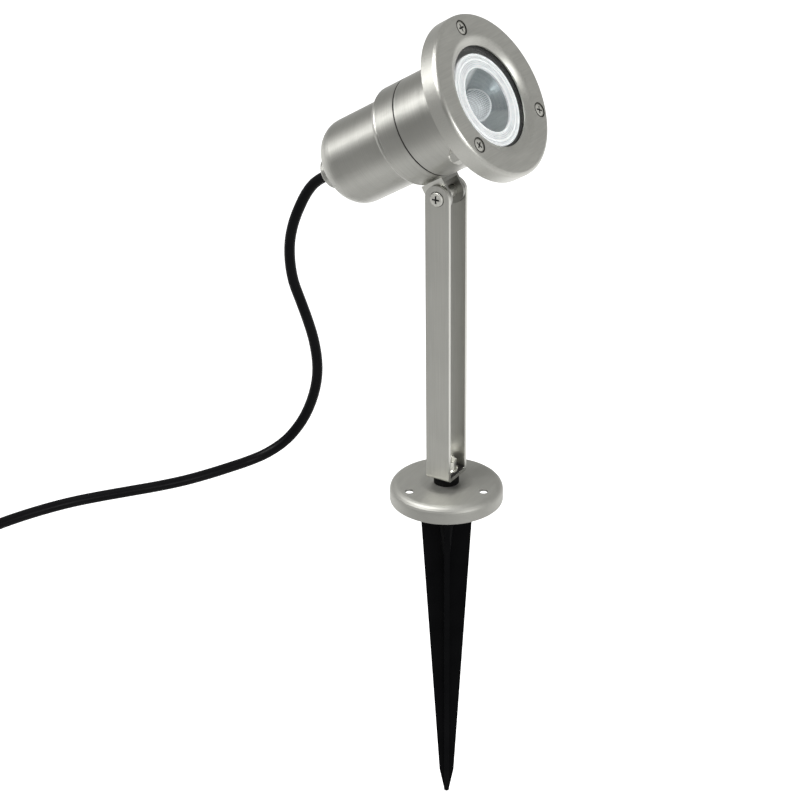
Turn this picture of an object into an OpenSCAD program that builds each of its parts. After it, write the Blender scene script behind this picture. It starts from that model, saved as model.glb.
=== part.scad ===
// Garden spotlight on a ground spike: a tilting stainless steel lamp head on a U bracket,
// a round base with a plastic spike under it, and a rubber cable that ends in a plug.
// The origin is at ground level under the base, +Z is up, and the hinge axis runs along X.

/* [Base and spike] */
// Outer radius of the round base
base_r = 31.5; // [30:0.5:34]
// Height of the round base
base_h = 9.8; // [8:0.2:11]
// Sheet thickness of the base
base_wall = 1.2; // [1:0.1:2]
// Rounding of the base's upper edge
base_edge = 4.5; // [2.5:0.5:5]
// Pitch circle of the three fixing holes
base_pcd = 47; // [44:1:48]
// Diameter of a fixing hole
base_hole_d = 4.8; // [4:0.2:5.4]
// Depth of the spike under the ground
spike_depth = 201; // [160:1:240]
// Reach of a spike fin from the axis, at the ground
spike_reach = 15; // [12:0.1:17]
// Thickness of a spike fin
fin_t = 3; // [2.4:0.2:4]

/* [Bracket] */
// Height of the hinge axis over the ground
hinge_z = 179; // [140:1:200]
// Width of the bracket's strip
strip_w = 14.2; // [13:0.2:16]
// Thickness of the bracket's strip
strip_t = 2; // [1.5:0.1:2.5]
// Width over both legs
legs_w = 19.6; // [19:0.2:22]
// Height of the bracket's underside over the ground
bracket_z = 14.5; // [13:0.5:17]

/* [Head] */
// Tilt of the beam above the horizon
tilt = 31; // [0:1:50]
// Distance from the hinge axis up to the head's axis
axis_off = 35.3; // [35:0.1:38]
// Distance of the head's front face ahead of the hinge
face_z = 53.3; // [50:0.1:56]
// Outer radius of the bezel
bezel_r = 43.4; // [42:0.1:45]
// Depth of the bezel's side wall
bezel_h = 9.8; // [9:0.1:11]
// Radius of the bezel's opening
lip_r = 27; // [26:0.1:27.4]
// Radius of the circle of bezel screws
screw_r = 36.4; // [35:0.1:38]
// Outer radius of the front barrel
barrel_r = 27.3; // [27:0.1:28]
// Outer radius of the rear can
can_r = 23.5; // [23:0.1:25]
// Sheet thickness of barrel and can
shell_t = 1.2; // [1:0.1:1.4]
// Length of the head
head_l = 106.5; // [100:0.5:110]
// Length that the gland's cap stands proud of the can
gland_l = 8.5; // [7:0.5:10]

/* [Cable] */
// Cable diameter
cable_d = 6; // [5:0.5:7]
// Outer radius of the stored coil
coil_r = 42; // [40:1:44]
// Centre of the coil, across
coil_x = -185; // [-195:1:-180]
// Centre of the coil, to the back
coil_y = 236; // [230:1:246]

/* [Hidden] */
$fn = 64;
fit = 0.05; // radial clearance of a running fit
face_gap = 0.1; // gap between flat faces that turn on each other

// base
spike_turn = 13.5; // turn of the spike's fins about the axis
boss_top = bracket_z - face_gap;
pivot_r = 3; // M6 stud
plate_top = bracket_z + strip_t;
pad_t = 0.8;
nut_h = 5;
stud_top = plate_top + pad_t + 1 + nut_h + 2;
plate_r = 18.5;
plate_t = 4;

// bracket
leg_in = legs_w / 2 - strip_t;
cheek_gap = 0.3;
cheek_out = leg_in - cheek_gap;
cheek_t = 1.8;
cheek_in = cheek_out - cheek_t;
hinge_r = 2; // M4 screw
bend_r = 2.6;

// head, along its own axis: z = 0 at the hinge, +z to the front
back_z = face_z - bezel_h;
rear_z = face_z - head_l;
bezel_t = 1.6;
dish_r = 32.4;
dish_h = 2.5;
lip_t = 0.8;
glass_t = 2.5;
glass_z = face_z - 3.4; // the glass's front
glass_r = 29.6;
flange_t = 1.5;
flange_r = 40.6;
seal_z = 9.5; // middle of the sealing ring between barrel and can
seal_t = 0.9;
step_z = -3; // where the can's wide collar begins to narrow
neck_z = -7.5;
can_edge = 12.5;
bezel_nut_h = 6.5; // the bezel screws' long nuts
lamp_r = 24.6;
lamp_sag = 1.2; // the lamp lies on the barrel's lower wall
lamp_z = glass_z - glass_t - 0.4; // the lamp's front
holder_back = lamp_z - 61;
ring_in = 17.2; // inside of the lamp's frosted ring
cup_r = 17.6; // outside of its reflector
emitter_r = 8.8; // radius of the emitter's dome
emitter_z = lamp_z - 9; // middle of that dome
emitter_base = lamp_z - 8;
gland_z = rear_z - gland_l;

// stored cable: two layers of turns, and the plug on top of them, its nose raised
coil_z = 0.8;
coil_w = 21;
lead_low = 11.6;
coil_at = [coil_x, coil_y];
plug_at = [coil_at.x - 25, coil_at.y - 14, 19.2];
plug_turn = 90;
plug_lift = 17.5;
plug_axis = [cos(plug_lift) * cos(plug_turn), cos(plug_lift) * sin(plug_turn), sin(plug_lift)];

// ---------- helpers ----------
module in_head() {
    translate([0, 0, hinge_z])
        rotate([90 - tilt, 0, 0])
            translate([0, axis_off, 0])
                children();
}
module in_lamp() {
    in_head() translate([0, -lamp_sag, 0]) children();
}
module ring(r_out, r_in, z0, z1) {
    difference() {
        translate([0, 0, z0]) cylinder(r = r_out, h = z1 - z0);
        translate([0, 0, z0 - 1]) cylinder(r = r_in, h = z1 - z0 + 2);
    }
}
module at_screws() {
    for (a = [90, 210, 330]) rotate([0, 0, a]) translate([screw_r, 0, 0]) children();
}
// a hexagon bar across flats af
module hex(af, h) {
    cylinder(r = af / 2 / cos(30), h = h, $fn = 6);
}
// a round head with a cross recess, its top at z = 0, shank downwards
module cross_screw(head_r, head_h, shank_r, shank_l) {
    difference() {
        union() {
            translate([0, 0, -head_h])
                rotate_extrude()
                    polygon([[0, 0], [head_r, 0], [head_r, head_h * 0.45],
                        [head_r * 0.86, head_h * 0.8], [head_r * 0.55, head_h], [0, head_h]]);
            translate([0, 0, -head_h - shank_l]) cylinder(r = shank_r, h = shank_l + 0.2);
        }
        for (a = [0, 90])
            rotate([0, 0, a]) cube([head_r * 1.15, head_r * 0.26, head_h * 1.1], center = true);
    }
}
// points of an arc, centre c, radius r, from angle a0 to a1 in n steps
function arc(c, r, a0, a1, n = 6) =
    [for (i = [0:n]) let (a = a0 + (a1 - a0) * i / n) [c[0] + r * cos(a), c[1] + r * sin(a)]];

// ---------- base and spike ----------
module base_disc() {
    color("silver")
        difference() {
            rotate_extrude($fn = 96)
                difference() {
                    polygon(concat([[0, 0], [base_r, 0]],
                        arc([base_r - base_edge, base_h - base_edge], base_edge, 0, 90),
                        [[0, base_h]]));
                    polygon([[0, -1], [base_r - base_wall, -1],
                        [base_r - base_wall, base_h - base_wall - 1.2],
                        [base_r - base_wall - 1.2, base_h - base_wall], [0, base_h - base_wall]]);
                }
            translate([0, 0, -1]) cylinder(r = pivot_r + 0.1, h = base_h + 2);
            for (a = [30, 150, 270])
                rotate([0, 0, a]) translate([base_pcd / 2, 0, -1])
                    cylinder(d = base_hole_d, h = base_h + 2, $fn = 32);
        }
}
// one fin pair, full width, thickness t, with the long taper and the steeper point
module fin_pair(t) {
    long_end = -spike_depth + 16;
    rotate([90, 0, 0])
        translate([0, 0, -t / 2])
            linear_extrude(t)
                polygon([[-spike_reach, 0], [spike_reach, 0], [4.2, long_end], [1.2, -spike_depth + 0.6],
                    [0.5, -spike_depth], [-0.5, -spike_depth], [-1.2, -spike_depth + 0.6],
                    [-4.2, long_end]]);
}
module ground_spike() {
    color("#16171a")
        difference() {
            union() {
                rotate([0, 0, 45 - spike_turn]) fin_pair(fin_t);
                rotate([0, 0, 135 - spike_turn]) fin_pair(fin_t);
                translate([0, 0, -40]) cylinder(r1 = 2, r2 = 7, h = 40);
                cylinder(r = plate_r, h = plate_t);
                cylinder(r = 8, h = base_h - base_wall);
            }
            translate([0, 0, -12]) cylinder(r = pivot_r + 0.1, h = 30);
            translate([0, 0, -8]) hex(10, 5);
        }
}
module spike_nut() {
    color("silver")
        translate([0, 0, -8])
            difference() {
                hex(10, 5);
                translate([0, 0, -1]) cylinder(r = pivot_r, h = 7);
            }
}
module pivot_stud() {
    color("silver") translate([0, 0, -11]) cylinder(r = pivot_r, h = stud_top + 11, $fn = 48);
}
module pivot_spacer() {
    color("#2a2a2a") ring(7, pivot_r + 0.1, base_h, boss_top);
}

// ---------- bracket ----------
module leg(s) {
    translate([s > 0 ? leg_in : -legs_w / 2, 0, 0]) {
        translate([0, -strip_w / 2, bracket_z + bend_r])
            cube([strip_t, strip_w, hinge_z - bracket_z - bend_r]);
        translate([0, 0, hinge_z]) rotate([0, 90, 0]) cylinder(d = strip_w, h = strip_t);
    }
}
// the quarter bend between the plate and a leg
module bend(s) {
    mirror([s > 0 ? 0 : 1, 0, 0])
        translate([legs_w / 2 - bend_r, strip_w / 2, bracket_z + bend_r])
            rotate([90, 0, 0])
                intersection() {
                    ring(bend_r, bend_r - strip_t, 0, strip_w);
                    translate([0, -bend_r, 0]) cube([bend_r, bend_r, strip_w]);
                }
}
module u_bracket() {
    color("silver")
        difference() {
            union() {
                for (s = [-1, 1]) {
                    leg(s);
                    bend(s);
                }
                translate([-legs_w / 2 + bend_r, -strip_w / 2, bracket_z])
                    cube([legs_w - 2 * bend_r, strip_w, strip_t]);
            }
            translate([0, 0, bracket_z - 1]) cylinder(r = pivot_r + fit, h = strip_t + 2);
            translate([-legs_w, 0, hinge_z]) rotate([0, 90, 0]) cylinder(r = hinge_r + 0.02, h = 2 * legs_w);
        }
}
module pivot_pad() {
    color("#151515")
        difference() {
            translate([-leg_in + 0.7, -strip_w / 2 + 0.6, plate_top])
                cube([2 * leg_in - 1.4, strip_w - 1.2, pad_t]);
            translate([0, 0, plate_top - 1]) cylinder(r = pivot_r + fit, h = 3);
        }
}
module pivot_washer() {
    color("silver") ring(6.2, pivot_r + 0.1, plate_top + pad_t + face_gap, plate_top + pad_t + 1);
}
module pivot_nut() {
    color("silver")
        difference() {
            translate([0, 0, plate_top + pad_t + 1]) rotate([0, 0, 15]) hex(10, nut_h);
            translate([0, 0, plate_top]) cylinder(r = pivot_r, h = 12);
        }
}
module hinge_screws() {
    color("silver")
        for (s = [0, 180])
            rotate([0, 0, s])
                translate([legs_w / 2 + 1.3, 0, hinge_z])
                    rotate([0, 90, 0])
                        cross_screw(3.8, 1.3, hinge_r, 8.3);
}
module hinge_sleeve() {
    color("silver")
        translate([-cheek_in + face_gap, 0, hinge_z]) rotate([0, 90, 0])
            difference() {
                cylinder(r = 3.2, h = 2 * (cheek_in - face_gap));
                translate([0, 0, -1]) cylinder(r = hinge_r, h = 30);
            }
}

// ---------- head ----------
function dish(r) = dish_h * (1 - cos(90 * (dish_r - r) / (dish_r - lip_r)));
module bezel_ring() {
    steps = 8;
    round_r = 2.5;
    front = [for (i = [0:steps]) let (r = dish_r + (lip_r - dish_r) * i / steps) [r, face_z - dish(r)]];
    under = [for (i = [0:steps]) let (r = lip_r + (dish_r - lip_r) * i / steps)
        [r, face_z - dish(r) - lip_t - (bezel_t - lip_t) * i / steps]];
    color("silver")
        in_head()
            difference() {
                rotate_extrude($fn = 128)
                    polygon(concat(
                        [[bezel_r - bezel_t, back_z], [bezel_r, back_z]],
                        arc([bezel_r - round_r, face_z - round_r], round_r, 0, 90),
                        front, under,
                        arc([bezel_r - bezel_t - 1, face_z - bezel_t - 1], 1, 90, 0, 3)));
                at_screws() translate([0, 0, back_z]) cylinder(r = 2.2, h = 20, $fn = 32);
                at_screws() translate([0, 0, face_z - 1.1]) cylinder(r = 4.1, h = 3, $fn = 48);
            }
}
module bezel_screws() {
    color("gainsboro") in_head() at_screws() translate([0, 0, face_z - 0.1]) cross_screw(3.6, 1, 2, 17.5);
}
module bezel_nuts() {
    color("silver")
        in_head()
            at_screws()
                difference() {
                    translate([0, 0, back_z - bezel_nut_h]) hex(8, bezel_nut_h);
                    translate([0, 0, back_z - bezel_nut_h - 1]) cylinder(r = 2, h = bezel_nut_h + 2, $fn = 32);
                }
}
module glass_gasket() {
    color("#101010")
        in_head()
            rotate_extrude()
                polygon([[glass_r, glass_z - glass_t - 0.4], [glass_r + 1.6, glass_z - glass_t - 0.4],
                    [glass_r + 1.6, glass_z + 0.3], [28.2, glass_z + 0.3], [28.2, glass_z],
                    [glass_r, glass_z]]);
}
module glass_window() {
    color([0.85, 0.92, 0.95, 0.35])
        in_head() translate([0, 0, glass_z - glass_t]) cylinder(r = glass_r, h = glass_t, $fn = 96);
}
module glass_seat() {
    color("#1c1b19")
        in_head() ring(glass_r + 1.4, barrel_r - shell_t + 0.2, back_z + flange_t, glass_z - glass_t - 0.4);
}
module front_barrel() {
    color("silver")
        in_head()
            difference() {
                union() {
                    ring(barrel_r, barrel_r - shell_t, seal_z + seal_t / 2, back_z + flange_t);
                    ring(flange_r, barrel_r - shell_t, back_z, back_z + flange_t);
                }
                at_screws() translate([0, 0, back_z - 1]) cylinder(r = 2.2, h = 5, $fn = 32);
            }
}
module sealing_ring() {
    color("#0c0c0c") in_head() ring(barrel_r - 0.1, barrel_r - 1.35, seal_z - seal_t / 2, seal_z + seal_t / 2);
}
module rear_can() {
    inner = can_r - shell_t;
    spigot_r = barrel_r - shell_t - 0.05;
    color("silver")
        in_head()
            difference() {
                union() {
                    rotate_extrude($fn = 96)
                        difference() {
                            polygon(concat(
                                [[0, seal_z - seal_t / 2], [0, rear_z]],
                                arc([can_r - can_edge, rear_z + can_edge], can_edge, -90, 0, 10),
                                [[can_r, neck_z]],
                                arc([barrel_r - 2.4, step_z - 1.2], 2.4, -50, 20, 4),
                                [[barrel_r, step_z], [barrel_r, seal_z - seal_t / 2]]));
                            polygon(concat(
                                [[0, seal_z + 20], [0, rear_z + shell_t + 0.4]],
                                arc([can_r - can_edge, rear_z + can_edge + 0.4], can_edge - shell_t, -90, 0, 8),
                                [[inner, neck_z - 1], [barrel_r - shell_t - 0.9, step_z + 1.5],
                                    [barrel_r - shell_t - 0.9, seal_z + 20]]));
                        }
                    ring(spigot_r - 0.1, barrel_r - shell_t - 0.9 - 0.1, seal_z - 3, seal_z + 7);
                }
                translate([0, 0, rear_z - 1]) cylinder(r = 6.1, h = 5);
            }
}
// U-shaped carrier under the barrel: a web shaped to the barrel, and two cheeks to the hinge
module tilt_carrier() {
    half_l = 7;
    color("silver")
        in_head()
            difference() {
                union() {
                    translate([-cheek_out, -axis_off, -half_l])
                        cube([2 * cheek_out, axis_off - 24, 2 * half_l]);
                    translate([-cheek_out, -axis_off, 0])
                        rotate([0, 90, 0]) cylinder(r = half_l, h = 2 * cheek_out);
                }
                translate([-cheek_in, -axis_off - half_l - 1, -half_l - 1])
                    cube([2 * cheek_in, axis_off + half_l + 1 - barrel_r - 1.8, 2 * half_l + 2]);
                translate([0, 0, -30]) cylinder(r = barrel_r, h = 60, $fn = 96);
                translate([-20, -axis_off, 0]) rotate([0, 90, 0]) cylinder(r = hinge_r + fit, h = 40);
            }
}
module gland_cap() {
    color("silver")
        in_head()
            difference() {
                rotate_extrude($fn = 64)
                    polygon(concat([[0, gland_z]],
                        arc([9 - 1.5, gland_z + 1.5], 1.5, -90, 0, 6),
                        [[9, rear_z], [0, rear_z]]));
                translate([0, 0, gland_z - 1]) cylinder(r = cable_d / 2 + 0.02, h = 20);
            }
}
module gland_stem() {
    color("silver") in_head() ring(6, cable_d / 2 + 1.6, rear_z, rear_z + 9);
}
module gland_seal() {
    color("#101010") in_head() ring(cable_d / 2 + 1.55, cable_d / 2 + 0.02, rear_z + 0.2, rear_z + 8);
}
module gland_locknut() {
    color("silver")
        in_head()
            difference() {
                translate([0, 0, rear_z + shell_t + 0.4]) hex(16, 3.5);
                translate([0, 0, rear_z]) cylinder(r = 6, h = 12);
            }
}

// ---------- lamp and its holder ----------
module lamp_housing() {
    color("whitesmoke")
        in_lamp()
            difference() {
                rotate_extrude()
                    polygon([[0, lamp_z - 1.2], [lamp_r, lamp_z - 1.2], [lamp_r, lamp_z - 5], [22, lamp_z - 12],
                        [17, lamp_z - 24], [13, lamp_z - 33], [10, lamp_z - 36], [10, lamp_z - 47],
                        [0, lamp_z - 47]]);
                translate([0, 0, lamp_z - 8]) cylinder(r = cup_r + 0.05, h = 10);
            }
}
module lamp_lens_ring() {
    color("white") in_lamp() ring(lamp_r, ring_in, lamp_z - 1.2, lamp_z);
}
module lamp_reflector() {
    color("lightgray")
        in_lamp()
            rotate_extrude()
                polygon([[ring_in, lamp_z - 1.2], [cup_r, lamp_z - 1.2], [cup_r, lamp_z - 7.9],
                    [emitter_r + 0.1, lamp_z - 7.9], [emitter_r + 0.1, lamp_z - 7], [13.4, lamp_z - 4.2]]);
}
module lamp_emitter() {
    color("white")
        in_lamp()
            rotate_extrude()
                polygon(concat([[0, emitter_base]],
                    arc([0, emitter_z], emitter_r, asin((emitter_base - emitter_z) / emitter_r), 90, 16)));
}
module lamp_pins() {
    color("silver")
        in_lamp()
            for (s = [-5, 5])
                translate([s, 0, lamp_z - 54]) {
                    cylinder(r = 2.4, h = 1.8, $fn = 32);
                    cylinder(r = 1.6, h = 7, $fn = 32);
                }
}
module lamp_holder() {
    color("ivory")
        in_lamp()
            difference() {
                translate([0, 0, lamp_z - 61]) cylinder(r = 13, h = 13.6);
                for (s = [-5, 5]) translate([s, 0, lamp_z - 56]) cylinder(r = 2.8, h = 10, $fn = 32);
                for (s = [-9, 9]) translate([s, 0, lamp_z - 62]) cylinder(r = 1.5, h = 6, $fn = 32);
            }
}
module holder_strap() {
    color("silver")
        in_lamp()
            difference() {
                union() {
                    translate([-19, -5, holder_back - 1.2]) cube([38, 10, 1.2]);
                    for (s = [-19, 17.8]) translate([s, -5, holder_back - 1.2]) cube([1.2, 10, 9]);
                }
                for (s = [-9, 9]) translate([s, 0, holder_back - 3]) cylinder(r = 1.6, h = 6, $fn = 32);
            }
}
module holder_screws() {
    color("gainsboro")
        in_lamp()
            for (s = [-9, 9])
                translate([s, 0, holder_back - 1.2 - 1.6]) rotate([180, 0, 0]) cross_screw(2.6, 1.6, 1.5, 6);
}
module cable_core() {
    color("#0e0e0e")
        in_head() translate([0, 0, gland_z]) cylinder(r = cable_d / 2, h = rear_z - gland_z + 12, $fn = 48);
}
// three insulated leads from the cable's end to the holder
module inner_leads() {
    start = rear_z + 12;
    color("saddlebrown")
        in_head()
            for (a = [0, 120, 240])
                rotate([0, 0, a + 90])
                    translate([1.5, 0, start])
                        cylinder(r = 0.9, h = holder_back - start - 3.5, $fn = 24);
}

// ---------- cable ----------
head_axis = [0, -cos(tilt), sin(tilt)];
head_mid = [0, axis_off * sin(tilt), hinge_z + axis_off * cos(tilt)];
cable_exit = head_mid + gland_z * head_axis;
// from the gland down to the ground behind the base, then away to the coil
route = [
    cable_exit, [0, 76, 174.5], [0, 82, 170], [-0.5, 87, 163.5], [-2, 90.5, 156], [-4, 93.5, 147],
    [-5.5, 95.5, 136], [-5.5, 96, 124], [-5, 94.5, 112], [-3, 91.5, 100], [-1, 88.5, 88],
    [0.5, 86, 76], [1, 84.5, 63], [0.5, 85, 51], [-1, 88, 38], [-4, 93, 25.5], [-9, 100.5, 14],
    [-16, 109, 6.5], [-25, 116, 3.4], [-37, 121.5, 3.1], [-49, 127, 3.1], [-62, 134, 3.1],
    [-75, 143, 3.1], [-88, 153.5, 3.1], [-101, 164, 3.1], [-114, 173.5, 3.1], [-128, 181.5, 3.1],
    [-143, 188, 3.3], [-158, 193, 3.5], [-172, 196, 3.7], [-185, 197, 3.8]];
// from the coil's top layer over it and into the plug that lies on it
lead_r = 25;
lead_rise = [for (t = [0:1 / 9:1.01]) lead_low + (plug_at.z - lead_low) * t * (0.64 + t * (0.05 + 0.31 * t))];
lead = [for (i = [0:9]) [
    coil_at.x - lead_r * sin(10 * i), coil_at.y - 39 + lead_r * (1 - cos(10 * i)), lead_rise[i]]];
sides = 10;
ref = [0.85, 0.52, 0];
function unit(v) = v / norm(v);
function heading(path, i, first, last) =
    i == 0 ? first : i == len(path) - 1 ? last : unit(path[i + 1] - path[i - 1]);
function hoop(at, t, ref) =
    let (u = unit(cross(t, ref)), v = cross(u, t))
    [for (k = [0:sides - 1]) let (a = 360 * k / sides) at + cable_d / 2 * (cos(a) * u + sin(a) * v)];
// a tube along the path, its ends square to the headings first and last
module tube(path, first, last, ref) {
    n = len(path) - 1;
    points = [for (i = [0:n]) each hoop(path[i], heading(path, i, first, last), ref)];
    walls = [for (i = [0:n - 1]) for (k = [0:sides - 1])
        let (j = (k + 1) % sides)
        [i * sides + k, i * sides + j, (i + 1) * sides + j, (i + 1) * sides + k]];
    start = [for (k = [sides - 1:-1:0]) k];
    end = [for (k = [0:sides - 1]) n * sides + k];
    polyhedron(points, concat([start], walls, [end]));
}
module cable_run() {
    color("#0e0e0e") tube(route, -head_axis, [-1, 0, 0], [0.85, 0.52, 0]);
}
module cable_lead() {
    color("#0e0e0e") tube(lead, [-1, 0, 0], plug_axis, [0, 0, 1]);
}
module at_coil() {
    translate([coil_x, coil_y, 0]) children();
}
module cable_coil() {
    c = 1.6; // chamfer
    low = coil_z;
    high = coil_z + 2 * cable_d;
    color("#0e0e0e")
        at_coil()
            rotate_extrude()
                polygon([[coil_r - coil_w, low + c], [coil_r - coil_w + c, low], [coil_r - c, low],
                    [coil_r, low + c], [coil_r, high - c], [coil_r - c, high], [coil_r - coil_w + c, high],
                    [coil_r - coil_w, high - c]]);
}
// a strap round the bundle, at the far side of the coil
module cable_tie() {
    color("#1c1c1c")
        at_coil()
            rotate([0, 0, 60])
                translate([coil_r - coil_w - 0.9, -2.5, 0.05])
                    difference() {
                        cube([coil_w + 1.8, 5, 2 * cable_d + 1.5]);
                        translate([0.7, -1, coil_z - 0.1]) cube([coil_w + 0.4, 7, 2 * cable_d + 0.1]);
                    }
}
module in_plug() {
    translate(plug_at) rotate([0, 0, plug_turn]) rotate([0, 90 - plug_lift, 0]) children();
}
module plug_body() {
    color("#131313")
        in_plug()
            rotate_extrude()
                polygon([[0, 0], [4.4, 0], [5.2, 20], [8, 24], [13, 29], [17.6, 36], [18, 42], [18, 50],
                    [0, 50]]);
}
module plug_pins() {
    color("silver")
        in_plug()
            for (s = [-9.5, 9.5]) translate([0, s, 50]) {
                cylinder(r = 2.4, h = 17.5, $fn = 32);
                translate([0, 0, 17.5]) cylinder(r1 = 2.4, r2 = 1.2, h = 1.5, $fn = 32);
            }
}
module plug_earth_clips() {
    color("silver")
        in_plug()
            for (s = [-1, 1]) translate([s * 17 - 1.2, -2.6, 50]) cube([2.4, 5.2, 1]);
}

// ---------- every node ----------

ground_spike();
spike_nut();
base_disc();
pivot_stud();
pivot_spacer();
u_bracket();
pivot_pad();
pivot_washer();
pivot_nut();
hinge_screws();
hinge_sleeve();
tilt_carrier();
bezel_ring();
bezel_screws();
bezel_nuts();
glass_gasket();
glass_window();
glass_seat();
front_barrel();
sealing_ring();
rear_can();
gland_cap();
gland_stem();
gland_seal();
gland_locknut();
lamp_housing();
lamp_lens_ring();
lamp_reflector();
lamp_emitter();
lamp_pins();
lamp_holder();
holder_strap();
holder_screws();
cable_core();
inner_leads();
cable_run();
cable_coil();
cable_tie();
cable_lead();
plug_body();
plug_pins();
plug_earth_clips();
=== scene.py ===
"""Looks of the garden spotlight: materials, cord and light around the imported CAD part."""

from math import cos, pi, radians, sin

import bmesh
import bpy
from mathutils import Matrix, Vector


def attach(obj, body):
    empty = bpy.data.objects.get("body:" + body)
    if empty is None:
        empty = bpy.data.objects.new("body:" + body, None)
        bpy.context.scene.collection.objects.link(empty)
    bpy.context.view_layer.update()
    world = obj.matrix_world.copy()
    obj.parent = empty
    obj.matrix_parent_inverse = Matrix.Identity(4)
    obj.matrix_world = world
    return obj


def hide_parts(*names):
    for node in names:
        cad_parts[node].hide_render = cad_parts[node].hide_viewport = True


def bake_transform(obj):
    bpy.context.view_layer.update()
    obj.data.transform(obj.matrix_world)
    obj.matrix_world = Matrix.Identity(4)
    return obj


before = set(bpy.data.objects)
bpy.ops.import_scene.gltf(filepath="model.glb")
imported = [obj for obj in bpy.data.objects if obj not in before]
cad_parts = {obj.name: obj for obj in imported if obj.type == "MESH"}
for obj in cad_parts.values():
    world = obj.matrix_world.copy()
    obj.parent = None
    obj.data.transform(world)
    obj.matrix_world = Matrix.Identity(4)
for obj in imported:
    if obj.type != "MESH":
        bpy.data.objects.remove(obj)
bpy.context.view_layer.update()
scene = bpy.context.scene

# ---------------------------------------- sizes and directions of the CAD part, in metres
HINGE_Z = 0.179
HEAD_TILT = radians(59)
HEAD_UP = Vector((0, 0.5150, 0.8572))
BEAM = (0, -0.8572, 0.5150)
HEAD_MID = Vector((0, 0.01818, 0.20926))
FACE_Z = 0.0533
BEZEL_SCREW_R = 0.0364
BEZEL_SCREW_ANGLES = (90, 210, 330)
BEZEL_HEAD_R = 0.0036
LEG_OUT = 0.0098
LEG_IN = 0.0078
CHEEK_OUT = 0.0075
HINGE_HEAD_R = 0.0038
HINGE_HEAD_H = 0.0013
LAMP_SAG = 0.0012
LAMP_MID = HEAD_MID - HEAD_UP * LAMP_SAG
LAMP_Z = 0.0470
LAMP_R = 0.0246
RING_IN = 0.0172
DOME_Z = 0.0380

# ---------------------------------------------------------------- camera
VIEW_TURN = radians(-58.604)
VIEW_RISE = radians(26.252)
VIEW_ROLL = radians(-0.668)
VIEW_DISTANCE = 1.08715
TARGET_X = -0.025223
TARGET_Z = 0.060272
# level directions away from this camera and to its left; add_floor uses them
AWAY = (0.854, 0.521, 0)
LEFT = (-0.521, 0.854, 0)


def add_camera():
    """A long lens on the -X, -Y side that looks down at the light."""
    back = Vector((sin(VIEW_TURN) * cos(VIEW_RISE), -cos(VIEW_TURN) * cos(VIEW_RISE), sin(VIEW_RISE)))
    target = Vector((TARGET_X * cos(VIEW_TURN), TARGET_X * sin(VIEW_TURN), TARGET_Z))
    lens = bpy.data.cameras.new("view")
    lens.lens = 90
    lens.sensor_width = 36
    lens.clip_start = 0.05
    lens.clip_end = 100
    camera = bpy.data.objects.new("view", lens)
    scene.collection.objects.link(camera)
    turn = back.to_track_quat("Z", "Y").to_matrix().to_4x4() @ Matrix.Rotation(VIEW_ROLL, 4, "Z")
    camera.matrix_world = Matrix.Translation(target + back * VIEW_DISTANCE) @ turn
    scene.camera = camera


add_camera()


# ---------------------------------------------------------------- mesh helpers
def mesh_object(name, points, faces, smooth=True):
    """A new mesh in the scene, its normals turned outwards."""
    mesh = bpy.data.meshes.new(name)
    mesh.from_pydata([tuple(p) for p in points], [], faces)
    mesh.validate()
    shape = bmesh.new()
    shape.from_mesh(mesh)
    bmesh.ops.recalc_face_normals(shape, faces=shape.faces)
    shape.to_mesh(mesh)
    shape.free()
    for face in mesh.polygons:
        face.use_smooth = smooth
    piece = bpy.data.objects.new(name, mesh)
    scene.collection.objects.link(piece)
    return piece


def tube(name, path, radius, sides=20):
    """A closed tube along the path, its rings carried along without twist."""
    path = [Vector(p) for p in path]
    last = len(path) - 1
    points, faces = [], []
    side = Vector((0.85, 0.52, 0))
    for i, at in enumerate(path):
        ahead = (path[min(i + 1, last)] - path[max(i - 1, 0)]).normalized()
        side = (side - ahead * side.dot(ahead)).normalized()
        up = ahead.cross(side)
        for k in range(sides):
            a = 2 * pi * k / sides
            points.append(at + radius * (cos(a) * side + sin(a) * up))
    for i in range(last):
        for k in range(sides):
            j = (k + 1) % sides
            faces.append((i * sides + k, i * sides + j, (i + 1) * sides + j, (i + 1) * sides + k))
    faces.append(tuple(range(sides))[::-1])
    faces.append(tuple(last * sides + k for k in range(sides)))
    return mesh_object(name, points, faces)


def smooth_path(knots, step):
    """Points about step apart on a curve through the knots."""
    knots = [Vector(k) for k in knots]
    ends = [2 * knots[0] - knots[1]] + knots + [2 * knots[-1] - knots[-2]]
    path = []
    for a, b, c, d in zip(ends, ends[1:], ends[2:], ends[3:]):
        count = max(1, round((c - b).length / step))
        for i in range(count):
            t = i / count
            path.append(0.5 * (2 * b + (c - a) * t + (2 * a - 5 * b + 4 * c - d) * t ** 2
                               + (3 * b - a - 3 * c + d) * t ** 3))
    return path + [knots[-1]]


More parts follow.
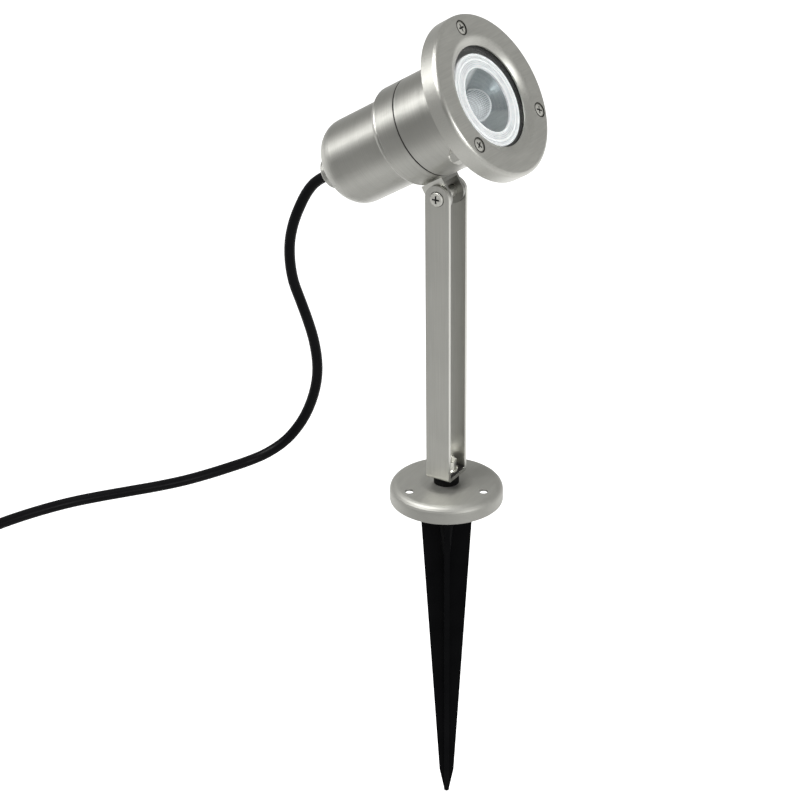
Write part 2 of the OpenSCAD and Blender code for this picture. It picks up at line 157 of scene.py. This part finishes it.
# ---------------------------------------------------------------- cord
CORD_D = 0.006
PATH_STEP = 0.004
EXIT = (0, 0.07107, 0.1775)
RUN = [
    EXIT, (0, 0.076, 0.1745), (0, 0.082, 0.17), (-0.0005, 0.087, 0.1635), (-0.002, 0.0905, 0.156),
    (-0.004, 0.0935, 0.147), (-0.0055, 0.0955, 0.136), (-0.0055, 0.096, 0.124), (-0.005, 0.0945, 0.112),
    (-0.003, 0.0915, 0.1), (-0.001, 0.0885, 0.088), (0.0005, 0.086, 0.076), (0.001, 0.0845, 0.063),
    (0.0005, 0.085, 0.051), (-0.001, 0.088, 0.038), (-0.004, 0.093, 0.0255), (-0.009, 0.1005, 0.014),
    (-0.016, 0.109, 0.0065), (-0.025, 0.116, 0.0034), (-0.037, 0.1215, 0.0031), (-0.049, 0.127, 0.0031),
    (-0.062, 0.134, 0.0031), (-0.075, 0.143, 0.0031), (-0.088, 0.1535, 0.0031), (-0.101, 0.164, 0.0031),
    (-0.114, 0.1735, 0.0031), (-0.128, 0.1815, 0.0031), (-0.143, 0.188, 0.0033), (-0.158, 0.193, 0.0035),
    (-0.172, 0.196, 0.0037)]
COIL = Vector((-0.185, 0.236, 0))
COIL_OUT = 0.039
COIL_IN = 0.0246
LOW = 0.0038
HIGH = 0.0098
LAYER_TURNS = 2.35
CLIMB_TURNS = 0.3
LIFT_TURNS = 0.12
POINTS_PER_TURN = 48
LEAD_LOW = 0.0116
LEAD_HIGH = 0.0192
LEAD_R = 0.025


def lead_points():
    """From the coil's outer turn in a bend over its top to the plug that lies on it."""
    points = []
    for i in range(1, 10):
        a, t = radians(10 * i), i / 9
        rise = t * (0.64 + t * (0.05 + 0.31 * t))
        points.append(COIL + Vector((-LEAD_R * sin(a), LEAD_R * (1 - cos(a)) - COIL_OUT,
                                     LEAD_LOW + (LEAD_HIGH - LEAD_LOW) * rise)))
    return points


def coil_points():
    """Two layers of clockwise turns: inwards on the floor, up, and outwards on top."""
    points = []
    turns = 2 * LAYER_TURNS + CLIMB_TURNS
    count = round(turns * POINTS_PER_TURN)
    for i in range(count + 1):
        t = turns * i / count
        if t < LAYER_TURNS:
            f, rise = t / LAYER_TURNS, 0
        elif t < LAYER_TURNS + CLIMB_TURNS:
            f, rise = 1, (t - LAYER_TURNS) / CLIMB_TURNS
        else:
            f, rise = (turns - t) / LAYER_TURNS, 1
        r = COIL_OUT + (COIL_IN - COIL_OUT) * f
        rise = rise * rise * (3 - 2 * rise)
        a = -pi / 2 - 2 * pi * t
        lift = max(0, 1 - (turns - t) / LIFT_TURNS) ** 2
        points.append(COIL + Vector((r * cos(a), r * sin(a),
                                     LOW + (HIGH - LOW) * rise + (LEAD_LOW - HIGH) * lift)))
    return points


def add_cord():
    """One tube from the gland by way of the coil to the plug."""
    coil = coil_points()
    run = smooth_path(RUN + [coil[0]], PATH_STEP)
    lead = smooth_path([coil[-1]] + lead_points(), PATH_STEP)
    path = run[:-1] + coil[:-1] + lead
    cord = tube("cord", path, CORD_D / 2)
    cord.data.materials.append(cable_black)
    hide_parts("cable_run", "cable_coil", "cable_lead")
    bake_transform(cord)


# ---------------------------------------------------------------- materials
class Material:
    """A material built of nodes on object coordinates, which tilt and middle turn and move
    into the piece's own frame."""

    def __init__(self, name, tilt=0.0, middle=(0, 0, 0)):
        self.material = bpy.data.materials.new(name)
        self.material.use_nodes = True
        self.nodes = self.material.node_tree.nodes
        self.links = self.material.node_tree.links
        self.nodes.clear()
        out = self.nodes.new("ShaderNodeOutputMaterial")
        self.shader = self.nodes.new("ShaderNodeBsdfPrincipled")
        self.links.new(self.shader.outputs[0], out.inputs["Surface"])
        where = self.nodes.new("ShaderNodeTexCoord")
        turn = Matrix.Rotation(-tilt, 4, "X")
        self.local = self.mapping(where.outputs["Object"], rotation=(-tilt, 0, 0),
                                  location=-(turn @ Vector(middle)))

    def mapping(self, source, scale=(1, 1, 1), rotation=(0, 0, 0), location=(0, 0, 0)):
        """source scaled, turned and moved."""
        node = self.nodes.new("ShaderNodeMapping")
        node.inputs["Scale"].default_value = scale
        node.inputs["Rotation"].default_value = rotation
        node.inputs["Location"].default_value = location
        self.links.new(source, node.inputs["Vector"])
        return node.outputs[0]

    def noise(self, scale, detail=3.0, rough=0.55):
        """Noise from 0 to 1. scale says how fast it changes along each axis, per metre."""
        node = self.nodes.new("ShaderNodeTexNoise")
        node.inputs["Scale"].default_value = 1
        node.inputs["Detail"].default_value = detail
        node.inputs["Roughness"].default_value = rough
        self.links.new(self.mapping(self.local, scale), node.inputs["Vector"])
        return node.outputs["Fac"]

    def spread(self, value, low, high, start=0.3, end=0.7, soft=False):
        """value's range from start to end made into low to high."""
        node = self.nodes.new("ShaderNodeMapRange")
        node.interpolation_type = "SMOOTHSTEP" if soft else "LINEAR"
        for name, number in (("From Min", start), ("From Max", end), ("To Min", low), ("To Max", high)):
            node.inputs[name].default_value = number
        self.links.new(value, node.inputs["Value"])
        return node.outputs[0]

    def mix(self, value, a, b, start=0.3, end=0.7):
        """Colour a where value is at start, colour b where it is at end."""
        node = self.nodes.new("ShaderNodeValToRGB")
        node.color_ramp.elements[0].position = start
        node.color_ramp.elements[0].color = (*a, 1)
        node.color_ramp.elements[1].position = end
        node.color_ramp.elements[1].color = (*b, 1)
        self.links.new(value, node.inputs["Fac"])
        return node.outputs["Color"]

    def math(self, how, a, b):
        """The operation how on a and b, each a number or a socket."""
        node = self.nodes.new("ShaderNodeMath")
        node.operation = how
        for socket, value in zip(node.inputs, (a, b)):
            if isinstance(value, (int, float)):
                socket.default_value = value
            else:
                self.links.new(value, socket)
        return node.outputs[0]

    def bump(self, height, distance):
        """Relief of height times distance, in metres."""
        node = self.nodes.new("ShaderNodeBump")
        node.inputs["Strength"].default_value = 1
        node.inputs["Distance"].default_value = distance
        self.links.new(height, node.inputs["Height"])
        self.links.new(node.outputs[0], self.shader.inputs["Normal"])

    def along(self, axis):
        """Highlights drawn out along axis, which is in object coordinates."""
        node = self.nodes.new("ShaderNodeVectorTransform")
        node.vector_type = "VECTOR"
        node.convert_from = "OBJECT"
        node.convert_to = "WORLD"
        node.inputs["Vector"].default_value = axis
        self.links.new(node.outputs[0], self.shader.inputs["Tangent"])

    def measure(self, how, towards=(0, 0, 0), scale=(1, 1, 1), location=(0, 0, 0)):
        """A number worked out from the point in the piece's own frame, such as its LENGTH."""
        node = self.nodes.new("ShaderNodeVectorMath")
        node.operation = how
        self.links.new(self.mapping(self.local, scale, location=location), node.inputs[0])
        node.inputs[1].default_value = towards
        return node.outputs["Value"]

    def side(self, x, y):
        """How far a point lies towards the direction (x, y) of the piece's own plane."""
        return self.measure("DOT_PRODUCT", (x, y, 0))

    def radius(self):
        """Distance from the piece's own Z axis."""
        return self.measure("LENGTH", scale=(1, 1, 0))

    def blend(self, value, a, b):
        """Socket a where value is 0, colour b where it is 1."""
        node = self.nodes.new("ShaderNodeMix")
        node.data_type = "RGBA"
        self.links.new(value, node.inputs["Factor"])
        self.links.new(a, node.inputs[6])
        node.inputs[7].default_value = (*b, 1)
        return node.outputs[2]

    def dim(self, colour, part):
        """The colour times part, a socket."""
        node = self.nodes.new("ShaderNodeVectorMath")
        node.operation = "SCALE"
        self.links.new(colour, node.inputs[0])
        self.links.new(part, node.inputs["Scale"])
        return node.outputs[0]

    def set(self, **values):
        """Inputs of the shader, each a number, a colour or a socket."""
        for name, value in values.items():
            socket = self.shader.inputs[name.replace("_", " ")]
            if isinstance(value, (int, float, tuple)):
                socket.default_value = value
            else:
                self.links.new(value, socket)


WARM = Vector((0.995, 0.99, 0.925))
LINE_RELIEF = 4e-6
DENT_DEPTH = 0.0012
WAVE_PERIOD = 0.314  # between the rings of a wave texture of scale 1
BEZEL_SIDE_R = 0.0415  # in the bezel's rounded edge, where its side begins


def brushed(name, grain, dark, light, rough, tilt=0.0, middle=(0, 0, 0),
            across=None, outside=None, inside=None, dent=None):
    """Steel with fine lines. grain says how fast they change along each axis, per metre.
    across draws highlights out along an axis, outside a radius from the beam if one is given.
    inside is a distance from the plane x = 0 and how much of its brightness steel within it keeps: painted
    shade on the inner faces of the legs and cheeks.
    dent is where a shallow pressed dip round the Z axis starts and ends."""
    m = Material(name, tilt, middle)
    lines = m.noise(grain, detail=4, rough=0.6)
    clouds = m.noise((30, 30, 30), detail=2)
    fine = m.noise(tuple(2.7 * g for g in grain), detail=3)
    tone = m.math("ADD", m.math("MULTIPLY", lines, 0.7), m.math("MULTIPLY", clouds, 0.3))
    colour = m.mix(tone, tuple(WARM * dark), tuple(WARM * light), 0.35, 0.65)
    # painted shade: steel near the middle plane x = 0 made darker
    if inside:
        reach, kept = inside
        off_middle = m.math("ABSOLUTE", m.side(1, 0), 0)
        colour = m.dim(colour, m.spread(off_middle, kept, 1, reach, reach + 0.00005))
    m.set(Base_Color=colour, Metallic=1.0, Roughness=m.spread(lines, *rough))
    relief = m.math("ADD", lines, fine)
    if dent:
        rise = m.spread(m.radius(), 0, DENT_DEPTH / LINE_RELIEF, *dent, soft=True)
        relief = m.math("ADD", relief, rise)
    m.bump(relief, LINE_RELIEF)
    if across:
        m.along(across)
        m.set(Anisotropic=0.75)
    if outside:
        m.set(Anisotropic=m.spread(m.radius(), 0, 0.6, outside, outside + 0.0015))
    return m.material


def dull(name, dark, light, rough, size=900, relief=1.2e-5, shine=0.25):
    """Plastic, rubber or ceramic with a fine grain and soft clouds."""
    m = Material(name)
    grain = m.noise((size, size, size), detail=3)
    clouds = m.noise((55, 55, 55), detail=2)
    m.set(Base_Color=m.mix(clouds, dark, light), Roughness=m.spread(grain, *rough),
          Specular_IOR_Level=shine)
    m.bump(grain, relief)
    return m.material


def lamp_front(name, step, dark, light, rough, metal=0.0, glow=0.0, lines=0.4, painted_reflections=()):
    """Frosted plastic or metallised reflector of the lamp with fine rings, step apart, about its axis.
    Painted reflections can be laid on: parts where another colour shows, each given by direction, start, end
    and colour."""
    m = Material(name, HEAD_TILT, LAMP_MID)
    rings = m.nodes.new("ShaderNodeTexWave")
    rings.wave_type = "RINGS"
    rings.rings_direction = "Z"
    rings.inputs["Scale"].default_value = WAVE_PERIOD / step
    rings.inputs["Distortion"].default_value = 1.6
    rings.inputs["Detail Scale"].default_value = 0.4
    m.links.new(m.local, rings.inputs["Vector"])
    clouds = m.noise((160, 160, 160))
    tone = m.math("ADD", m.math("MULTIPLY", rings.outputs["Fac"], lines),
                  m.math("MULTIPLY", clouds, 1 - lines))
    colour = m.mix(tone, dark, light)
    # painted reflections: patches of another colour towards one side
    for way, start, end, reflection_colour in painted_reflections:
        streaks = m.spread(m.noise((90, 700, 90), detail=4), 0.55, 1.0)
        part = m.math("MULTIPLY", m.spread(m.side(*way), 0, 1, start, end), streaks)
        colour = m.blend(part, colour, reflection_colour)
    m.set(Base_Color=colour, Roughness=m.spread(clouds, *rough), Metallic=metal)
    # glow is painted light: the part shines by itself
    if glow:
        m.set(Emission_Color=colour, Emission_Strength=glow)
    m.bump(rings.outputs["Fac"], 1.5e-4 * lines)
    return m.material


cable_black = dull("cable_black", (0.002, 0.002, 0.0025), (0.004, 0.004, 0.0045), (0.34, 0.46), shine=0.07)
plug_black = dull("plug_black", (0.012, 0.012, 0.013), (0.02, 0.02, 0.021), (0.45, 0.6), relief=2e-5)
spike_black = dull("spike_black", (0.0015, 0.0016, 0.002), (0.003, 0.003, 0.0035), (0.3, 0.4), 600,
                   shine=0.03)
# black parts made darker still, their own black and painted shade together: the spacer under the bracket and
# the glass's gasket and seat
spacer_black_shade = dull("spacer_black_shade", (0.001, 0.001, 0.001), (0.002, 0.002, 0.002), (0.6, 0.75), shine=0.1)
rubber_black = dull("rubber_black", (0.012, 0.011, 0.010), (0.022, 0.02, 0.019), (0.5, 0.66))
tie_black = dull("tie_black", (0.01, 0.01, 0.01), (0.018, 0.018, 0.018), (0.32, 0.45))
lamp_white = dull("lamp_white", (0.72, 0.72, 0.70), (0.8, 0.8, 0.78), (0.35, 0.45))
ceramic_cream = dull("ceramic_cream", (0.66, 0.62, 0.53), (0.74, 0.71, 0.62), (0.25, 0.4), 400)
lead_brown = dull("lead_brown", (0.2, 0.07, 0.03), (0.26, 0.1, 0.05), (0.35, 0.5))

# these steels stand for one steel; their different tones are painted light and shade, each set to the piece's
# brightness under this light: darker can, disc, screws and nuts, lighter carrier, legs and small parts
can_steel = brushed("can_steel", (35, 35, 5200), 0.36, 0.46, (0.32, 0.42), HEAD_TILT, HEAD_MID, across=BEAM)
bezel_steel = brushed("bezel_steel", (90, 1600, 3500), 0.44, 0.53, (0.36, 0.46), HEAD_TILT, HEAD_MID,
                      across=BEAM, outside=BEZEL_SIDE_R)
leg_steel = brushed("leg_steel", (4200, 4200, 30), 0.47, 0.57, (0.32, 0.42), inside=(LEG_IN + 0.00005, 0.8))
disc_steel = brushed("disc_steel", (70, 3600, 3600), 0.35, 0.44, (0.52, 0.62), dent=(0.0075, 0.0155))
carrier_steel = brushed("carrier_steel", (3600, 3600, 60), 0.74, 0.82, (0.28, 0.38), HEAD_TILT, HEAD_MID,
                        inside=(CHEEK_OUT - 0.0001, 0.36))
bright_and_lit_steel = brushed("bright_and_lit_steel", (1500, 1500, 1500), 0.82, 0.9, (0.26, 0.36))
screw_steel = brushed("screw_steel", (1500, 1500, 1500), 0.55, 0.68, (0.48, 0.58))
nut_steel = brushed("nut_steel", (1500, 1500, 1500), 0.5, 0.6, (0.3, 0.4))
plug_bright = brushed("plug_bright", (900, 900, 900), 0.74, 0.8, (0.12, 0.22))


def window_glass():
    """Clear glass with the faintest waves."""
    m = Material("window_glass", HEAD_TILT, HEAD_MID)
    waves = m.noise((40, 40, 40), detail=1)
    m.set(Base_Color=m.mix(waves, (0.93, 0.97, 0.96), (0.97, 0.99, 0.985)), Transmission_Weight=1.0,
          Roughness=m.spread(waves, 0.0, 0.02), IOR=1.46)
    m.bump(waves, 2e-6)
    return m.material


# where the pale line of painted highlight lies on the emitter's dome
RIM_HIGHLIGHT_NORMAL = (-0.7656, 0.1385, 0.628)
RIM_HIGHLIGHT_OFF = 0.0012


def emitter_dots():
    """A dome with a fine honeycomb of dots, a painted reflection that makes it milky towards one side, a
    faint painted glow and a pale line of painted highlight.
    The line stands for the bright rim of the dome's outline as seen from add_camera's place. It is
    fixed on the dome: RIM_HIGHLIGHT_NORMAL is the direction to that place in the lamp's own frame, so from
    any other side the line does not lie on the outline."""
    m = Material("emitter_dots", HEAD_TILT, LAMP_MID)
    cells = m.nodes.new("ShaderNodeTexVoronoi")
    cells.inputs["Scale"].default_value = 1000
    cells.inputs["Randomness"].default_value = 0.12
    m.links.new(m.mapping(m.local, (1, 1, 0)), cells.inputs["Vector"])
    dots = m.mix(cells.outputs["Distance"], (0.56, 0.59, 0.62), (0.12, 0.135, 0.15), 0.25, 0.5)
    # painted reflection: the dots turn milky towards one side
    dots = m.blend(m.spread(m.side(-0.64, -0.11), 0, 0.85, 0.0008, 0.0062), dots, (0.8, 0.81, 0.83))
    # painted highlight: a pale line on the dome's outline as seen from add_camera's place
    ahead = m.measure("DOT_PRODUCT", RIM_HIGHLIGHT_NORMAL, location=(0, 0, -DOME_Z))
    off_rim = m.math("ABSOLUTE", m.math("SUBTRACT", ahead, RIM_HIGHLIGHT_OFF), 0)
    dots = m.blend(m.spread(off_rim, 0.95, 0, 0.0018, 0.0034), dots, (0.92, 0.93, 0.95))
    # the faint glow is painted light
    m.set(Base_Color=dots, Emission_Color=dots, Emission_Strength=0.3, Coat_Weight=1.0, Coat_Roughness=0.06,
          Roughness=m.spread(cells.outputs["Distance"], 0.22, 0.4))
    m.bump(cells.outputs["Distance"], -2e-5)
    return m.material


# the frosted ring glows: painted light
frosted = lamp_front("frosted", 0.0009, (0.6, 0.59, 0.61), (0.98, 0.97, 0.98), (0.3, 0.42), glow=0.4)
# white that glows on the lamp's edges: painted highlight
glowing_edge_highlight = lamp_front("glowing_edge_highlight", 0.0006, (0.9, 0.9, 0.92), (1, 1, 1), (0.15, 0.25), glow=0.5)
# the reflector carries painted reflections: a grey patch and a near-white one
mirror = lamp_front("mirror", 0.0016, (0.18, 0.205, 0.22), (0.27, 0.3, 0.32), (0.38, 0.48), metal=0.4,
                    lines=0.12,
                    painted_reflections=(((-0.46, -0.887), 0.0008, 0.0028, (0.42, 0.45, 0.46)),
                           ((-0.6, 0.8), 0.009, 0.0115, (0.95, 0.95, 0.97))))
# black for the shade in screw recesses and round screw heads: painted shade
painted_recess_shade = dull("painted_recess_shade", (0.004, 0.004, 0.004), (0.008, 0.008, 0.007), (0.6, 0.8))

LOOKS = {
    can_steel: ["front_barrel", "rear_can", "gland_cap", "gland_stem"],
    bezel_steel: ["bezel_ring"],
    leg_steel: ["u_bracket", "holder_strap"],
    disc_steel: ["base_disc"],
    carrier_steel: ["tilt_carrier"],
    bright_and_lit_steel: ["spike_nut", "pivot_stud", "pivot_washer", "pivot_nut", "hinge_sleeve"],
    screw_steel: ["hinge_screws", "bezel_screws", "holder_screws"],
    nut_steel: ["bezel_nuts", "gland_locknut"],
    spike_black: ["ground_spike"],
    spacer_black_shade: ["pivot_spacer", "glass_gasket", "glass_seat"],
    rubber_black: ["pivot_pad", "sealing_ring", "gland_seal"],
    cable_black: ["cable_core"],
    tie_black: ["cable_tie"],
    plug_black: ["plug_body"],
    plug_bright: ["plug_pins", "plug_earth_clips", "lamp_pins"],
    window_glass(): ["glass_window"],
    lamp_white: ["lamp_housing"],
    frosted: ["lamp_lens_ring"],
    mirror: ["lamp_reflector"],
    emitter_dots(): ["lamp_emitter"],
    ceramic_cream: ["lamp_holder"],
    lead_brown: ["inner_leads"],
}
for look, names in LOOKS.items():
    for name in names:
        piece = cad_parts[name]
        piece.data.materials.clear()
        piece.data.materials.append(look)

add_cord()


# ---------------------------------------------------------------- small pieces on the CAD part
def placed(piece, matrix, look, body):
    """The piece put in its place, given its look and made to move with the body."""
    piece.matrix_world = matrix
    piece.data.materials.append(look)
    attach(piece, body)


def torus(name, radius, thick, height, sides=96, round_sides=12):
    """A ring about local Z, thick wide and high."""
    points, faces = [], []
    for i in range(sides):
        a = 2 * pi * i / sides
        for k in range(round_sides):
            b = 2 * pi * k / round_sides
            r = radius + thick / 2 * cos(b)
            points.append((r * cos(a), r * sin(a), height * sin(b) / 2))
    for i in range(sides):
        j = (i + 1) % sides
        for k in range(round_sides):
            n = (k + 1) % round_sides
            faces.append((i * round_sides + k, j * round_sides + k, j * round_sides + n, i * round_sides + n))
    return mesh_object(name, points, faces)


def cross(name, half, arm, depth):
    """A cross-shaped block below local z = 0, its arms narrowing a little to their ends."""
    outline = []
    for i in range(4):
        a = pi / 2 * i
        for x, y in ((half, -arm * 0.75), (half, arm * 0.75), (arm, arm)):
            outline.append((x * cos(a) - y * sin(a), x * sin(a) + y * cos(a)))
    n = len(outline)
    points = [(x, y, 0) for x, y in outline] + [(x * 0.5, y * 0.5, -depth) for x, y in outline]
    faces = [tuple(range(n)), tuple(range(2 * n - 1, n - 1, -1))]
    faces += [(i, (i + 1) % n, n + (i + 1) % n, n + i) for i in range(n)]
    return mesh_object(name, points, faces, smooth=False)


HEAD = Matrix.Translation(HEAD_MID) @ Matrix.Rotation(HEAD_TILT, 4, "X")
LAMP = Matrix.Translation(LAMP_MID) @ Matrix.Rotation(HEAD_TILT, 4, "X")
SUNK = 0.0002
# sizes of the rings of painted shade round the screw heads
GAP_W = 0.0004
GAP_H = 0.0003


def add_lamp_lines():
    """Moulded edges of the lamp's front: white rings that glow as painted highlights."""
    front = LAMP @ Matrix.Translation((0, 0, LAMP_Z))
    for name, radius, thick, height in (
            ("lamp_edge_in", RING_IN + 0.0003, 0.0009, 0.0007),
            ("lamp_edge_out", LAMP_R - 0.0006, 0.0011, 0.0007),
            ("lamp_ridge", LAMP_R - 0.0030, 0.0006, 0.0005)):
        placed(torus(name, radius, thick, height), front, glowing_edge_highlight, "head")


def add_recesses():
    """Painted shade: a black cross sunk in each screw's cross recess and a black ring round its head."""
    for i, angle in enumerate(BEZEL_SCREW_ANGLES):
        turn = HEAD @ Matrix.Rotation(radians(angle), 4, "Z")
        recess = cross("bezel_recess_shade_%d" % i, 0.0020, 0.00046, 0.0004)
        placed(recess, turn @ Matrix.Translation((BEZEL_SCREW_R, 0, FACE_Z - SUNK)), painted_recess_shade, "head")
        gap = torus("bezel_gap_shade_%d" % i, BEZEL_HEAD_R + 0.0001, GAP_W, GAP_H, 48, 8)
        placed(gap, turn @ Matrix.Translation((BEZEL_SCREW_R, 0, FACE_Z)), painted_recess_shade, "head")
    for i, side in enumerate((-1, 1)):
        turn = Matrix.Translation((0, 0, HINGE_Z)) @ Matrix.Rotation(side * pi / 2, 4, "Y")
        recess = cross("hinge_recess_shade_%d" % i, 0.0021, 0.00048, 0.0005)
        placed(recess, turn @ Matrix.Translation((0, 0, LEG_OUT + HINGE_HEAD_H)), painted_recess_shade, "stem")
        gap = torus("hinge_gap_shade_%d" % i, HINGE_HEAD_R + 0.0001, GAP_W, GAP_H, 48, 8)
        placed(gap, turn @ Matrix.Translation((0, 0, LEG_OUT)), painted_recess_shade, "stem")


add_lamp_lines()
add_recesses()


# ---------------------------------------------------------------- light and floor
FLOOR_Z = -1.0
FLOOR_HALF = 40.0


def add_floor():
    """A white sheet far below that glows: dark straight below, and farther out brightest in the
    direction AWAY, dimmer in front and to the LEFT."""
    corners = [(x * FLOOR_HALF, y * FLOOR_HALF, FLOOR_Z) for x, y in ((-1, -1), (1, -1), (1, 1), (-1, 1))]
    floor = mesh_object("floor", corners, [(0, 1, 2, 3)], smooth=False)
    m = Material("floor_white")
    behind = m.measure("DOT_PRODUCT", AWAY)
    not_behind = m.spread(behind, 1, 0, 0.0, 0.8)
    left = m.spread(m.measure("DOT_PRODUCT", LEFT), 0, 0.55, 0.4, 1.0)
    near = m.spread(m.radius(), 0.05, 0.95, 0.45, 0.95)
    front = m.spread(behind, 0.36, 1, -0.5, 0.6)
    shade = m.math("MULTIPLY", front, m.math("SUBTRACT", 1, m.math("MULTIPLY", not_behind, left)))
    clouds = m.noise((2, 2, 2))
    m.set(Base_Color=m.mix(clouds, (0.86, 0.86, 0.86), (0.9, 0.9, 0.9)), Roughness=0.9,
          Emission_Color=(1, 1, 1, 1), Emission_Strength=m.math("MULTIPLY", near, shade))
    floor.data.materials.append(m.material)


def add_light(name, at, towards, size, power):
    """A white panel of light at a place, turned towards another."""
    lamp = bpy.data.lights.new(name, "AREA")
    lamp.shape = "RECTANGLE"
    lamp.size, lamp.size_y = size
    lamp.energy = power
    light = bpy.data.objects.new(name, lamp)
    scene.collection.objects.link(light)
    aim = (Vector(towards) - Vector(at)).to_track_quat("-Z", "Y")
    light.matrix_world = Matrix.Translation(at) @ aim.to_matrix().to_4x4()


def add_world():
    """Soft light all round, brighter from +X."""
    world = bpy.data.worlds.new("studio")
    scene.world = world
    world.use_nodes = True
    tree = world.node_tree
    where = tree.nodes.new("ShaderNodeTexCoord")
    split = tree.nodes.new("ShaderNodeSeparateXYZ")
    ramp = tree.nodes.new("ShaderNodeMapRange")
    for name, number in (("From Min", -0.7), ("From Max", 0.6), ("To Min", 0.2), ("To Max", 0.55)):
        ramp.inputs[name].default_value = number
    tree.links.new(where.outputs["Generated"], split.inputs[0])
    tree.links.new(split.outputs["X"], ramp.inputs["Value"])
    tree.links.new(ramp.outputs[0], tree.nodes["Background"].inputs["Strength"])
    tree.nodes["Background"].inputs["Color"].default_value = (1, 1, 0.985, 1)


add_floor()
add_world()
add_light("key", (-0.6, 0.4, 1.15), (0, 0, 0.2), (0.6, 0.9), 23)
add_light("front", (-0.5, -1.4, 0.55), (0, 0, 0.15), (0.5, 0.5), 10)
scene.view_settings.view_transform = "Standard"
